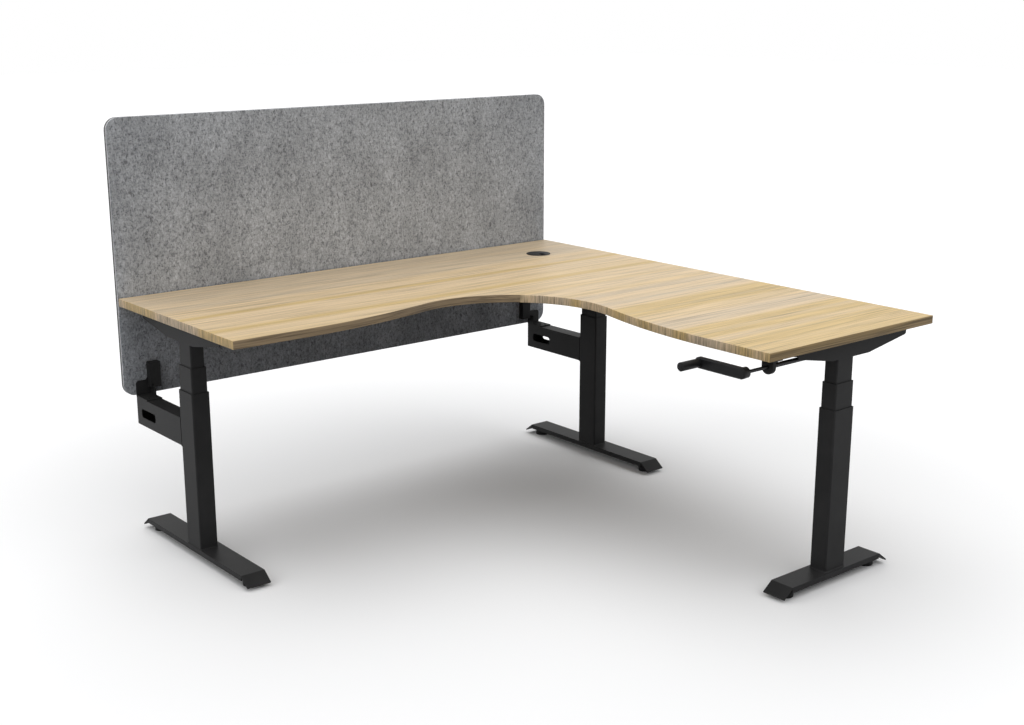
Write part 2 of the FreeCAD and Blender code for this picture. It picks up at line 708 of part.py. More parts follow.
# Hand crank: stepped shaft in a hanging bearing, flat arm with hub and pin, turning grip
def make_crank():
    line = ("returnY", "shaftHeight")
    step = "hangerX + hangerThickness / 2 + runningGap"
    along_x = (90, (0, 1, 0))
    thin = cylinder("shaft_thin", "rodDiameter / 2", f"{step} - crankX", ("crankX", *line), *along_x)
    thick_end = "returnX - housingLength / 2 + housingBore - runningGap"
    thick = cylinder("shaft_thick", "shaftDiameter / 2", f"{thick_end} - ({step})", (step, *line), *along_x)
    keep(fuse("crank_shaft", [thin, thick]))

    arm = new_body("crank_arm")
    blade = new_sketch(arm, "YZ")
    add_rectangle(blade, "crankReach + crankHeight", "crankHeight", ("crankReach / 2", "0"))
    extrude("Pad", blade, "crankThickness", "One side", backwards=True)
    soften(arm, "Fillet", "crankHeight / 2 - endFlat", lambda edge: runs_along(edge, (1, 0, 0)))
    rims = lambda edge: not runs_along(edge, (1, 0, 0))
    soften(arm, "Chamfer", "crankEase", rims)
    hub = new_sketch(arm, "YZ", "-crankEase")
    add_circle(hub, "hubDiameter / 2")
    extrude("Pad", hub, "hubLength + crankEase", "One side")
    socket = new_sketch(arm, "YZ", "hubLength")
    add_circle(socket, "rodDiameter / 2")
    extrude("Pocket", socket, "hubLength", "One side")
    pin = new_sketch(arm, "YZ", "-crankThickness")
    add_circle(pin, "gripPin / 2", ("crankReach", "0"))
    extrude("Pad", pin, "gripLength - gripEase", "One side", backwards=True)
    put(arm, ("crankX", *line))
    keep(arm)

    grip = new_body("crank_grip")
    skin = new_sketch(grip, "YZ")
    add_circle(skin, "gripDiameter / 2")
    extrude("Pad", skin, "gripLength", "One side", backwards=True)
    soften(grip, "Chamfer", "gripEase", lambda edge: edge.CenterOfMass.x < -number("gripLength") / 2
           and not runs_along(edge, (1, 0, 0)))
    bore = new_sketch(grip, "YZ")
    add_circle(bore, "gripPin / 2 + runningGap")
    extrude("Pocket", bore, "gripLength - gripEase + runningGap", "One side")
    put(grip, ("crankX - crankThickness - runningGap", "returnY + crankReach", "shaftHeight"))
    keep(grip)

    hanger = new_body("crank_hanger")
    cheek = new_sketch(hanger, "YZ")
    add_rectangle(cheek, "2 * hangerRadius", "shaftDrop + hangerRadius",
                  ("0", "(shaftDrop - hangerRadius) / 2"))
    extrude("Pad", cheek, "hangerThickness")
    floor = -number("hangerRadius")
    soften(hanger, "Fillet", "hangerRadius - endFlat", lambda edge: runs_along(edge, (1, 0, 0))
           and abs(edge.CenterOfMass.z - floor) < 1)
    plate = new_sketch(hanger, "YZ")
    add_rectangle(plate, "2 * hangerRadius + hangerFlange / 2", "hangerPlate",
                  ("0", "shaftDrop - hangerPlate / 2"))
    extrude("Pad", plate, "hangerFlange")
    hole = new_sketch(hanger, "YZ")
    add_circle(hole, "rodDiameter / 2 + runningGap")
    extrude("Pocket", hole, "3 * hangerThickness")
    put(hanger, ("hangerX", *line))
    keep(hanger)


make_worktop()
make_grommet()
make_screen_layer("screen_front_felt", "screenFace", "screenFront")
make_screen_layer("screen_back_felt", "screenBack", "screenFront + screenFace")
make_leg("left", "leftX", "mainY", 90, "footLength", "footShiftAlong", "footShiftAcross", ("-y",))
make_leg("corner", "cornerX", "mainY", 90, "footLength", "footShiftAlong", "footShiftAcross", ("+y",))
make_leg("return", "returnX", "returnY", 0, "returnFootLength", "0", "0", ("-x", "+y"), "bracketLean")
make_arm("left", "leftX")
make_arm("corner", "cornerX")
make_clip("left", "leftX", "clipReachLeft", "1", "0")
make_clip("corner", "cornerX", "clipReachCorner", "-1", "armWidth")
make_rails()
make_drive()
make_crank()
document.recompute()

failed = [item.Label for item in document.Objects if {"Invalid", "Error"} & set(item.State)]
failed += [item.Label for item in nodes if item.Shape.isNull() or not item.Shape.isValid()]
if failed:
    raise RuntimeError("not built: " + ", ".join(failed))
os.makedirs("parts", exist_ok=True)
for item in nodes:
    item.Shape.exportStep(f"parts/{item.Label}.step")
    print(item.Label, len(item.Shape.Solids), round(item.Shape.Volume))
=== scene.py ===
import math

import bmesh
import bpy
from mathutils import Matrix, Vector


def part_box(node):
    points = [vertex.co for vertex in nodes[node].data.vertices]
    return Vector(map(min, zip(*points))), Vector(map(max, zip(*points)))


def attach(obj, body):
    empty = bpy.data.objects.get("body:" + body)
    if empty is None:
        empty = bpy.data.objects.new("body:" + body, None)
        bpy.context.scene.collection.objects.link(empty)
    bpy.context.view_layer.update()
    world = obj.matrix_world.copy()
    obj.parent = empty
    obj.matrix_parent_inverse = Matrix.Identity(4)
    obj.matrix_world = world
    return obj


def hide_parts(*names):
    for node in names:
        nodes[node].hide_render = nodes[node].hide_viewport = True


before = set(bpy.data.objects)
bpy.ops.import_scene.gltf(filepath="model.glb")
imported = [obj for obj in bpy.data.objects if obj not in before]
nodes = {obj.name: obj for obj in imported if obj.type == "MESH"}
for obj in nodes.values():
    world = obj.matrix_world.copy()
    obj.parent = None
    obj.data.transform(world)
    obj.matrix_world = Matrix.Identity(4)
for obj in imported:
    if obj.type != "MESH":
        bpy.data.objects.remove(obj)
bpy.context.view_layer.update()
print("desk frame loaded:", len(nodes), "nodes")

# Camera at the photograph's viewpoint
viewpoint = {"spot": (-2.72545, -3.30139, 1.71583), "lens": 49.31, "turn": 39.525, "tilt": 14.501,
             "sight": 200}


def placeCamera():
    data = bpy.data.cameras.new("photoCamera")
    data.lens = viewpoint["lens"]
    data.clip_end = viewpoint["sight"]
    cam = bpy.data.objects.new("photoCamera", data)
    cam.location = viewpoint["spot"]
    cam.rotation_euler = (math.radians(90 - viewpoint["tilt"]), 0, -math.radians(viewpoint["turn"]))
    bpy.context.scene.collection.objects.link(cam)
    bpy.context.scene.camera = cam


placeCamera()


# Small node helpers: every finish below is built from these
def newFinish(name, **sockets):
    finish = bpy.data.materials.new(name)
    finish.use_nodes = True
    shader = finish.node_tree.nodes["Principled BSDF"]
    for socket, value in sockets.items():
        shader.inputs[socket.replace("_", " ")].default_value = value
    return finish, finish.node_tree, shader


def addNode(tree, kind, settings=None, **inputs):
    node = tree.nodes.new(kind)
    for key, value in (settings or {}).items():
        setattr(node, key, value)
    for key, value in inputs.items():
        socket = node.inputs[key]
        if isinstance(value, bpy.types.NodeSocket):
            tree.links.new(value, socket)
        else:
            socket.default_value = value
    return node


def stretched(tree, source, scale, turn=(0, 0, 0), shift=(0, 0, 0)):
    turned = [math.radians(a) for a in turn]
    made = addNode(tree, "ShaderNodeMapping", Vector=source, Scale=scale, Rotation=turned, Location=shift)
    return made.outputs[0]


def noise(tree, source, scale, detail=3.0, rough=0.55, twist=0.0):
    made = addNode(tree, "ShaderNodeTexNoise", Vector=source, Scale=scale, Detail=detail, Roughness=rough,
                   Distortion=twist)
    return made.outputs["Fac"]


def ramp(tree, source, stops, ease="LINEAR"):
    made = addNode(tree, "ShaderNodeValToRGB", Fac=source)
    made.color_ramp.interpolation = ease
    elements = made.color_ramp.elements
    while len(elements) < len(stops):
        elements.new(0.5)
    for element, (place, colour) in zip(elements, stops):
        element.position = place
        element.color = (*colour, 1) if hasattr(colour, "__len__") else (colour, colour, colour, 1)
    return made.outputs["Color"]


def mixed(tree, way, factor, first, second):
    made = addNode(tree, "ShaderNodeMix", {"data_type": "RGBA", "blend_type": way})
    for index, value in ((0, factor), (6, first), (7, second)):  # the sockets of a mix of colours
        if isinstance(value, bpy.types.NodeSocket):
            tree.links.new(value, made.inputs[index])
        else:
            made.inputs[index].default_value = (*value, 1) if hasattr(value, "__len__") else value
    return made.outputs[2]


def sums(tree, how, first, second):
    made = addNode(tree, "ShaderNodeMath", {"operation": how})
    for index, value in enumerate((first, second)):
        if isinstance(value, bpy.types.NodeSocket):
            tree.links.new(value, made.inputs[index])
        else:
            made.inputs[index].default_value = value
    return made.outputs[0]


def spread(tree, source, low, high, start=0.0, end=1.0):
    made = addNode(tree, "ShaderNodeMapRange", {"interpolation_type": "SMOOTHSTEP"}, Value=source)
    for socket, value in (("From Min", start), ("From Max", end), ("To Min", low), ("To Max", high)):
        made.inputs[socket].default_value = value
    return made.outputs[0]


def bump(tree, shader, height, strength, distance):
    made = addNode(tree, "ShaderNodeBump", Height=height, Strength=strength, Distance=distance)
    tree.links.new(made.outputs[0], shader.inputs["Normal"])


def place(tree):
    return addNode(tree, "ShaderNodeTexCoord").outputs["Object"]


# Oak-look laminate: tone bands across the boards, long streaks and short pores along them
oakLook = {
    "grey": (0.475, 0.400, 0.285),
    "beige": (0.735, 0.565, 0.355),
    "honey": (0.660, 0.482, 0.222),
    "ash": (0.635, 0.510, 0.355),
    # painted shade on the edge strip: its front side is darkened much and its x side a little, by the way
    # each faces the light
    "frontPaintedShade": (0.44, 0.42, 0.40),
    "sidePaintedShade": (0.89, 0.88, 0.885),
    "gloss": 0.3,
    "rough": (0.40, 0.56),
    "bump": (0.10, 0.0004),
    "bandWidth": 0.26,
    "bandNoise": (1.5, 0.5),
    "bandTurn": (0, 0, 0.3),
    "bandStops": ((0.36, "beige"), (0.43, "ash"), (0.49, "beige"), (0.54, "honey"), (0.60, "honey"),
                  (0.66, "beige")),
    # how each grain is drawn out along x, y and z
    "faceRun": (0.007, 1.0, 0.4),
    "bandRun": (0.014, 1.0, 0.3),
    "barRun": (0.2, 1.0, 0.05),
    "lineRun": (0.008, 0.06, 0.62),
    "shortRun": (2.0, 1, 1),
    "shortTurn": (0, 0, 0.15),
    "poreRun": (6, 1, 1),
    "veinShift": (3.1, 7.7, 1.3),
    "threadShare": 0.8,
    # noise as scale, detail, roughness and twist, and the stops that make it a tone
    "veins": {"noise": (44, 4.0, 0.62), "stops": ((0.54, 0.0), (0.61, 0.22), (0.72, 0.42))},
    "streaks": {"noise": (120, 4.0, 0.6, 0.15), "stops": ((0.34, 0.88), (0.46, 0.98), (0.66, 1.05))},
    "shortLines": {"noise": (270, 1.5, 0.5), "stops": ((0.33, 0.62), (0.43, 0.96), (0.60, 1.05))},
    "threads": {"noise": (520, 3.0, 0.6), "stops": ((0.36, 0.74), (0.50, 1.0), (0.70, 1.05))},
    "edgeBars": {"noise": (430, 2.0, 0.6), "stops": ((0.38, 0.66), (0.49, 1.0), (0.62, 1.16))},
    "poreNoise": (700, 2.0, 0.5),
}


def oakLayer(tree, spot, name):
    return ramp(tree, noise(tree, spot, *oakLook[name]["noise"]), oakLook[name]["stops"])


def oakFinish(name, where):
    finish, tree, shader = newFinish(name, IOR=1.45)
    shader.inputs["Specular IOR Level"].default_value = oakLook["gloss"]
    here = place(tree)
    if where == "edge":  # the edge strip shows upright bars on its x side and long lines on its y side
        normal = addNode(tree, "ShaderNodeTexCoord").outputs["Normal"]
        parts = addNode(tree, "ShaderNodeSeparateXYZ", Vector=normal)
        sideways = sums(tree, "GREATER_THAN", sums(tree, "ABSOLUTE", parts.outputs[0], 0.0),
                        sums(tree, "ABSOLUTE", parts.outputs[1], 0.0))
        bars = stretched(tree, here, oakLook["barRun"])
        lines = stretched(tree, here, oakLook["lineRun"])
        grainPlace = mixed(tree, "MIX", sideways, lines, bars)
        bandPlace = grainPlace
    else:
        grainPlace = stretched(tree, here, oakLook["faceRun"])
        bandPlace = stretched(tree, here, oakLook["bandRun"], turn=oakLook["bandTurn"])
    bands = noise(tree, bandPlace, 1 / oakLook["bandWidth"], *oakLook["bandNoise"])
    tone = ramp(tree, bands, [(stop, oakLook[shade]) for stop, shade in oakLook["bandStops"]])
    veinPlace = stretched(tree, grainPlace, (1, 1, 1), shift=oakLook["veinShift"])
    tone = mixed(tree, "MIX", oakLayer(tree, veinPlace, "veins"), tone, oakLook["grey"])
    tone = mixed(tree, "MULTIPLY", 1.0, tone, oakLayer(tree, grainPlace, "streaks"))
    shortPlace = stretched(tree, grainPlace, oakLook["shortRun"], turn=oakLook["shortTurn"])
    tone = mixed(tree, "MULTIPLY", 1.0, tone, oakLayer(tree, shortPlace, "shortLines"))
    tone = mixed(tree, "MULTIPLY", oakLook["threadShare"], tone, oakLayer(tree, grainPlace, "threads"))
    if where == "edge":
        # painted shade: the edge strip darkens by which way it faces, the front side far more than the x
        # side
        shade = mixed(tree, "MIX", sideways, oakLook["frontPaintedShade"], oakLook["sidePaintedShade"])
        tone = mixed(tree, "MULTIPLY", 1.0, tone, shade)
        tone = mixed(tree, "MULTIPLY", 1.0, tone, oakLayer(tree, grainPlace, "edgeBars"))
    tree.links.new(tone, shader.inputs["Base Color"])
    pores = noise(tree, stretched(tree, grainPlace, oakLook["poreRun"]), *oakLook["poreNoise"])
    tree.links.new(spread(tree, pores, *oakLook["rough"]), shader.inputs["Roughness"])
    bump(tree, shader, pores, *oakLook["bump"])
    return finish


# Marled felt: clumped light and dark fibres lying every way
feltLook = {
    "front": ((0.140, 0.147, 0.160), (0.373, 0.392, 0.420), (0.58, 0.605, 0.64)),
    # painted highlight: the pale tones of the thin shell over the front sheet's cut edge
    "cut": ((0.55, 0.55, 0.56), (0.74, 0.74, 0.75), (0.86, 0.86, 0.87)),
    "back": ((0.028, 0.028, 0.029), (0.105, 0.105, 0.107), (0.26, 0.26, 0.262)),
    "steps": (0.40, 0.49, 0.60),
    "gloss": 0.15,
    "bump": (0.55, 0.0012),
    "clouds": {"run": (7, 7, 4.5), "noise": (1.0, 4.0, 0.6), "stops": ((0.34, 0.85), (0.66, 1.14))},
    # each layer's stretch, lean, noise and share of the whole
    "layers": {
        "mottle": {"run": (95, 95, 62), "lean": 0, "noise": (1.0, 4.0, 0.62, 1.1), "share": 0.40},
        "rising": {"run": (60, 170, 330), "lean": 58, "noise": (1.0, 4.0, 0.65, 0.6), "share": 0.14},
        "falling": {"run": (70, 170, 350), "lean": -66, "noise": (1.0, 4.0, 0.65, 0.6), "share": 0.14},
        "fine": {"run": (240, 240, 120), "lean": 0, "noise": (1.0, 3.0, 0.7, 0.6), "share": 0.32},
    },
}


def feltFinish(name, shades):
    finish, tree, shader = newFinish(name, Roughness=0.95, Sheen_Weight=0.25, Sheen_Roughness=0.6)
    shader.inputs["Specular IOR Level"].default_value = feltLook["gloss"]
    here = place(tree)
    blend = 0.0
    for layer in feltLook["layers"].values():
        spot = stretched(tree, here, layer["run"], turn=(0, layer["lean"], 0))
        fibres = sums(tree, "MULTIPLY", noise(tree, spot, *layer["noise"]), layer["share"])
        blend = sums(tree, "ADD", blend, fibres)
    tone = ramp(tree, blend, list(zip(feltLook["steps"], shades)))
    clouds = feltLook["clouds"]
    drift = noise(tree, stretched(tree, here, clouds["run"]), *clouds["noise"])
    tone = mixed(tree, "MULTIPLY", 1.0, tone, ramp(tree, drift, clouds["stops"]))
    tree.links.new(tone, shader.inputs["Base Color"])
    bump(tree, shader, blend, *feltLook["bump"])
    return finish


# Black powder coat: a fine even orange peel with a low sheen
coatLook = {"dark": (0.023, 0.023, 0.0235), "light": (0.031, 0.031, 0.0315), "gloss": 0.10,
            "drift": (9, 3.0, 0.5), "rough": (0.42, 0.52), "peel": (900, 2.0, 0.5), "bump": (0.16, 0.0003)}


def coatFinish(name):
    finish, tree, shader = newFinish(name, IOR=1.5)
    shader.inputs["Specular IOR Level"].default_value = coatLook["gloss"]
    here = place(tree)
    drift = noise(tree, here, *coatLook["drift"])
    tone = ramp(tree, drift, [(0.35, coatLook["dark"]), (0.65, coatLook["light"])])
    tree.links.new(tone, shader.inputs["Base Color"])
    tree.links.new(spread(tree, drift, *coatLook["rough"]), shader.inputs["Roughness"])
    bump(tree, shader, noise(tree, here, *coatLook["peel"]), *coatLook["bump"])
    return finish


# Moulded plastic with a fine spark-eroded grain
plasticLook = {"gloss": 0.16, "drift": (40, 3.0, 0.5), "dim": 0.75, "grain": (1600, 2.0, 0.6),
               "roughSpan": 0.08, "bump": (0.12, 0.0002)}


def plasticFinish(name, colour, rough):
    finish, tree, shader = newFinish(name, IOR=1.48)
    shader.inputs["Specular IOR Level"].default_value = plasticLook["gloss"]
    here = place(tree)
    drift = noise(tree, here, *plasticLook["drift"])
    dim = tuple(c * plasticLook["dim"] for c in colour)
    tree.links.new(ramp(tree, drift, [(0.35, dim), (0.65, colour)]), shader.inputs["Base Color"])
    grain, span = noise(tree, here, *plasticLook["grain"]), plasticLook["roughSpan"]
    tree.links.new(spread(tree, grain, rough - span, rough + span), shader.inputs["Roughness"])
    bump(tree, shader, grain, *plasticLook["bump"])
    return finish


# Drawn steel with faint lines along its length
steelLook = {"along": 4, "across": 900, "lines": (1.0, 3.0, 0.6), "dim": 0.7, "rough": (0.28, 0.44),
             "bump": (0.08, 0.0002)}


def steelFinish(name, colour, along):
    finish, tree, shader = newFinish(name, Metallic=1.0)
    scale = tuple(steelLook["along" if letter == along else "across"] for letter in "xyz")
    lines = noise(tree, stretched(tree, place(tree), scale), *steelLook["lines"])
    dim = tuple(c * steelLook["dim"] for c in colour)
    tree.links.new(ramp(tree, lines, [(0.3, dim), (0.7, colour)]), shader.inputs["Base Color"])
    tree.links.new(spread(tree, lines, *steelLook["rough"]), shader.inputs["Roughness"])
    bump(tree, shader, lines, *steelLook["bump"])
    return finish


finishes = {
    "boardOak": oakFinish("boardOak", "face"),
    "edgeOak": oakFinish("edgeOak", "edge"),
    "frontFelt": feltFinish("frontFelt", feltLook["front"]),
    "backFelt": feltFinish("backFelt", feltLook["back"]),
    "rimHighlightFelt": feltFinish("rimHighlightFelt", feltLook["cut"]),
    "blackCoat": coatFinish("blackCoat"),
    "blackPlastic": plasticFinish("blackPlastic", (0.016, 0.016, 0.017), 0.48),
    "gripPlastic": plasticFinish("gripPlastic", (0.013, 0.013, 0.014), 0.36),
    "caseBlack": plasticFinish("caseBlack", (0.020, 0.020, 0.021), 0.55),
    "rodSteelX": steelFinish("rodSteelX", (0.040, 0.040, 0.042), "x"),
    "rodSteelY": steelFinish("rodSteelY", (0.040, 0.040, 0.042), "y"),
    "screwSteel": steelFinish("screwSteel", (0.05, 0.05, 0.053), "z"),
}
print("finishes made:", len(finishes))

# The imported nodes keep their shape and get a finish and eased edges
edgeEase = {"steel": 0.0012, "plastic": 0.0005, "rod": 0.0003, "grip": 0.0016, "joinedWithin": 0.00002,
            "steps": 2, "sharperThan": 38}
nodeLooks = (
    (("foot_", "outer_column_", "middle_column_", "inner_column_", "arm_", "screen_clip_", "top_bracket_",
      "rail_", "crank_hanger"), "blackCoat", "steel"),
    (("outer_glide_", "middle_glide_", "leveller_", "grommet_"), "blackPlastic", "plastic"),
    (("crank_arm", "crank_grip"), "gripPlastic", "grip"),
    (("gear_housing_", "junction_housing"), "caseBlack", "steel"),
    (("sync_rod_left", "sync_rod_corner", "crank_shaft"), "rodSteelX", "rod"),
    (("sync_rod_return",), "rodSteelY", "rod"),
)


def dress(node, look, ease):
    node.data.materials.clear()
    node.data.materials.append(finishes[look])
    weld = node.modifiers.new("joined", "WELD")
    weld.merge_threshold = edgeEase["joinedWithin"]
    rounding = node.modifiers.new("eased", "BEVEL")
    rounding.width = edgeEase[ease]
    rounding.segments = edgeEase["steps"]
    rounding.limit_method = "ANGLE"
    rounding.angle_limit = math.radians(edgeEase["sharperThan"])
    rounding.harden_normals = True


for name, node in nodes.items():
    for starts, look, ease in nodeLooks:
        if name.startswith(starts):
            dress(node, look, ease)
print("nodes dressed")


# Mesh helpers for the pieces made here
def newPiece(name, mesh, body, finish):
    data = bpy.data.meshes.new(name)
    bmesh.ops.recalc_face_normals(mesh, faces=mesh.faces)
    mesh.normal_update()
    mesh.to_mesh(data)
    mesh.free()
    piece = bpy.data.objects.new(name, data)
    bpy.context.scene.collection.objects.link(piece)
    data.materials.append(finishes[finish])
    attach(piece, body)
    return piece


def smooth(piece, angle):
    piece.data.polygons.foreach_set("use_smooth", [True] * len(piece.data.polygons))
    piece.data.set_sharp_from_angle(angle=math.radians(angle))


def ring(mesh, points):
    return [mesh.verts.new(p) for p in points]


def bridge(mesh, first, second):
    count = len(first)
    for i in range(count):
        mesh.faces.new((first[i], first[(i + 1) % count], second[(i + 1) % count], second[i]))


def fill(mesh, *loops):
    edges = []
    for loop in loops:
        for i in range(len(loop)):
            pair = (loop[i], loop[(i + 1) % len(loop)])
            edges.append(mesh.edges.get(pair) or mesh.edges.new(pair))
    bmesh.ops.triangle_fill(mesh, use_beauty=True, use_dissolve=False, edges=edges)


def arc(centre, radius, start, end, steps):
    return [(centre[0] + radius * math.cos(start + (end - start) * i / steps),
             centre[1] + radius * math.sin(start + (end - start) * i / steps)) for i in range(steps + 1)]


def quarterTurns(steps):
    return [i * math.pi / 2 / steps for i in range(steps + 1)]


# Worktop: a laminate board inside a thin edge strip that follows the wave
topPlan = {"wing": 0.75, "bayInset": 0.0765, "bayRadius": 0.333, "endRun": 0.234, "waveSteps": 40,
           "baySteps": 72, "strip": 0.0012, "round": 0.0008, "seam": 0.00012, "holeRadius": 0.040,
           "holeInset": 0.230, "holeSteps": 64, "roundSteps": 3, "smoothBelow": 35}


def planOutline(inset):
    low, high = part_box("worktop")
    front, inner = high.y - topPlan["wing"], high.x - topPlan["wing"]
    side, run = high.x - low.x, topPlan["bayInset"] - topPlan["bayRadius"]
    bay = (inner + run, front + run)
    wave = side - topPlan["wing"] + run - topPlan["endRun"]
    reach = (wave ** 2 + topPlan["bayInset"] ** 2) / (2 * topPlan["bayInset"])
    big = reach - topPlan["bayRadius"]
    mainCentre, returnCentre = (bay[0] - wave, front + big), (inner + big, bay[1] - wave)
    lean = math.atan2(wave, reach - topPlan["bayInset"])
    points = [(low.x + inset, high.y - inset), (low.x + inset, front + inset)]
    points += arc(mainCentre, big - inset, -math.pi / 2, -math.pi / 2 + lean, topPlan["waveSteps"])
    points += arc(bay, topPlan["bayRadius"] + inset, math.pi / 2 + lean, -lean, topPlan["baySteps"])[1:]
    points += arc(returnCentre, big - inset, math.pi - lean, math.pi, topPlan["waveSteps"])[1:]
    points += [(inner + inset, low.y + inset), (high.x - inset, low.y + inset)]
    return points + [(high.x - inset, high.y - inset)]


def levelRing(mesh, inset, z):
    return ring(mesh, [(x, y, z) for x, y in planOutline(inset)])


def makeBoard():
    low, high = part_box("worktop")
    strip, seam = topPlan["strip"], topPlan["seam"]
    mesh = bmesh.new()
    stack = [levelRing(mesh, strip + seam, high.z), levelRing(mesh, strip, high.z - seam),
             levelRing(mesh, strip, low.z + seam), levelRing(mesh, strip + seam, low.z)]
    for upper, lower in zip(stack, stack[1:]):
        bridge(mesh, upper, lower)
    hole = (high.x - topPlan["holeInset"], high.y - topPlan["holeInset"])
    circle = arc(hole, topPlan["holeRadius"], 0, 2 * math.pi, topPlan["holeSteps"])[:-1]
    mouth = [ring(mesh, [(x, y, z) for x, y in circle]) for z in (high.z, low.z)]
    bridge(mesh, mouth[1], mouth[0])
    fill(mesh, stack[0], mouth[0])
    fill(mesh, stack[3], mouth[1])
    board = newPiece("worktopBoard", mesh, "top", "boardOak")
    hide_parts("worktop")


def makeEdgeStrip():
    low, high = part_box("worktop")
    strip, seam, soft = topPlan["strip"], topPlan["seam"], topPlan["round"]
    mesh = bmesh.new()
    turns = quarterTurns(topPlan["roundSteps"])
    profile = [(strip, high.z - seam), (strip - seam, high.z)]
    profile += [(soft - soft * math.sin(a), high.z - soft + soft * math.cos(a)) for a in turns]
    profile += [(soft - soft * math.cos(a), low.z + soft - soft * math.sin(a)) for a in turns]
    profile += [(strip - seam, low.z), (strip, low.z + seam)]
    stack = [levelRing(mesh, inset, z) for inset, z in profile]
    for upper, lower in zip(stack, stack[1:] + stack[:1]):
        bridge(mesh, upper, lower)
    band = newPiece("worktopEdgeStrip", mesh, "top", "edgeOak")
    smooth(band, topPlan["smoothBelow"])


makeBoard()
makeEdgeStrip()
print("worktop made")

# Screen: two felt sheets pressed together, their cut edges slightly rounded; a pale shell over the front
# sheet's rim is a painted highlight
screenShape = {"corner": 0.040, "cornerSteps": 12, "frontRound": 0.0020, "backRound": 0.0024,
               "seamRound": 0.0014, "cutDepth": 0.0006, "roundSteps": 4, "smoothBelow": 40}


def sheetOutline(low, high, inset):
    corner, steps = screenShape["corner"], screenShape["cornerSteps"]
    left, right, bottom, top = low.x + corner, high.x - corner, low.z + corner, high.z - corner
    points = []
    for quarter, centre in enumerate(((right, top), (left, top), (left, bottom), (right, bottom))):
        points += arc(centre, corner - inset, quarter * math.pi / 2, (quarter + 1) * math.pi / 2, steps)
    return points


def sheetStack(mesh, low, high, profile):
    return [ring(mesh, [(x, y, z) for x, z in sheetOutline(low, high, inset)]) for inset, y in profile]


def makeFelt(node, finish, slot, frontRound, backRound, rebate=0.0):
    low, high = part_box(node)
    mesh = bmesh.new()
    turns = quarterTurns(screenShape["roundSteps"])
    front, back = low.y + frontRound, high.y - backRound
    profile = [(frontRound - frontRound * math.sin(a), front - frontRound * math.cos(a)) for a in turns]
    if rebate:
        profile += [(rebate, front), (rebate, back)]
    profile += [(backRound - backRound * math.cos(a), back + backRound * math.sin(a)) for a in turns]
    stack = sheetStack(mesh, low, high, profile)
    for upper, lower in zip(stack, stack[1:]):
        bridge(mesh, upper, lower)
    fill(mesh, stack[0])
    fill(mesh, stack[-1])
    sheet = newPiece(node + "_sheet", mesh, "base", finish)
    smooth(sheet, screenShape["smoothBelow"])
    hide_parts(node)


# A thin pale shell over the front sheet's cut edge: a painted highlight along the rim
def makeRimHighlight(node, frontRound, backRound, depth):
    low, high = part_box(node)
    front, back = low.y + frontRound, high.y - backRound
    mesh = bmesh.new()
    stack = sheetStack(mesh, low, high, [(0, front), (0, back), (depth, back), (depth, front)])
    for upper, lower in zip(stack, stack[1:] + stack[:1]):
        bridge(mesh, upper, lower)
    edge = newPiece(node + "_rim_highlight", mesh, "base", "rimHighlightFelt")
    smooth(edge, screenShape["smoothBelow"])


frontEdges = (screenShape["frontRound"], screenShape["seamRound"], screenShape["cutDepth"])
makeFelt("screen_front_felt", "frontFelt", "felt_light", *frontEdges)
makeRimHighlight("screen_front_felt", *frontEdges)
makeFelt("screen_back_felt", "backFelt", "felt_dark", screenShape["seamRound"], screenShape["backRound"])
print("screen made")

# Fastenings: button-head screws under the top and on the clips
# The head's profile is in shares of its radius and rise
screwShape = {"sides": 24, "socket": 0.42, "sink": 0.55, "smoothBelow": 35,
              "head": ((1.0, 0.0), (1.0, 0.3), (0.9, 0.7), (0.72, 0.95), (0.58, 1.0))}


def hexagonReach(flat, angle):
    return flat / math.cos((angle % (math.pi / 3)) - math.pi / 6)


def addScrew(mesh, spot, way, radius, rise):
    turn = Vector((0, 0, 1)).rotation_difference(Vector(way)).to_matrix().to_4x4()
    move = Matrix.Translation(spot) @ turn
    sides = screwShape["sides"]
    angles = [2 * math.pi * i / sides for i in range(sides)]

    def loop(reach, level):
        points = [Vector((r * math.cos(a), r * math.sin(a), level)) for r, a in zip(reach, angles)]
        return ring(mesh, [move @ point for point in points])

    socket = [hexagonReach(radius * screwShape["socket"], a) for a in angles]
    stack = [loop([radius * share] * sides, rise * level) for share, level in screwShape["head"]]
    stack += [loop(socket, rise), loop(socket, rise * (1 - screwShape["sink"]))]
    for lower, upper in zip(stack, stack[1:]):
        bridge(mesh, lower, upper)
    mesh.faces.new(stack[0][::-1])
    mesh.faces.new(stack[-1])


def screwSet(name, body, spots, way, radius, rise):
    mesh = bmesh.new()
    for spot in spots:
        addScrew(mesh, spot, way, radius, rise)
    smooth(newPiece(name, mesh, body, "screwSteel"), screwShape["smoothBelow"])


bracketScrew = {"radius": 0.0065, "rise": 0.0035, "sheet": 0.003, "along": (-0.225, -0.15, 0.15, 0.225)}


def bracketSpots(side):
    low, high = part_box("top_bracket_" + side)
    middle, level = (low + high) / 2, high.z - bracketScrew["sheet"]
    if side == "return":
        return [(middle.x + a, middle.y, level) for a in bracketScrew["along"]]
    return [(middle.x, middle.y + a, level) for a in bracketScrew["along"]]


for side in ("left", "corner", "return"):
    screwSet("bracketScrews_" + side, "top", bracketSpots(side), (0, 0, -1), bracketScrew["radius"],
             bracketScrew["rise"])

railScrew = {"radius": 0.0055, "rise": 0.0028, "inset": 0.030}


def railSpots(name):
    low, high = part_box(name)
    middle, inset = (low + high) / 2, railScrew["inset"]
    if name.startswith("rail_main"):
        return [(low.x + inset, middle.y, low.z), (high.x - inset, middle.y, low.z)]
    return [(middle.x, low.y + inset, low.z), (middle.x, high.y - inset, low.z)]


for name in ("rail_main_front", "rail_main_back", "rail_return_inner", "rail_return_outer"):
    screwSet(name + "_screws", "top", railSpots(name), (0, 0, -1), railScrew["radius"], railScrew["rise"])

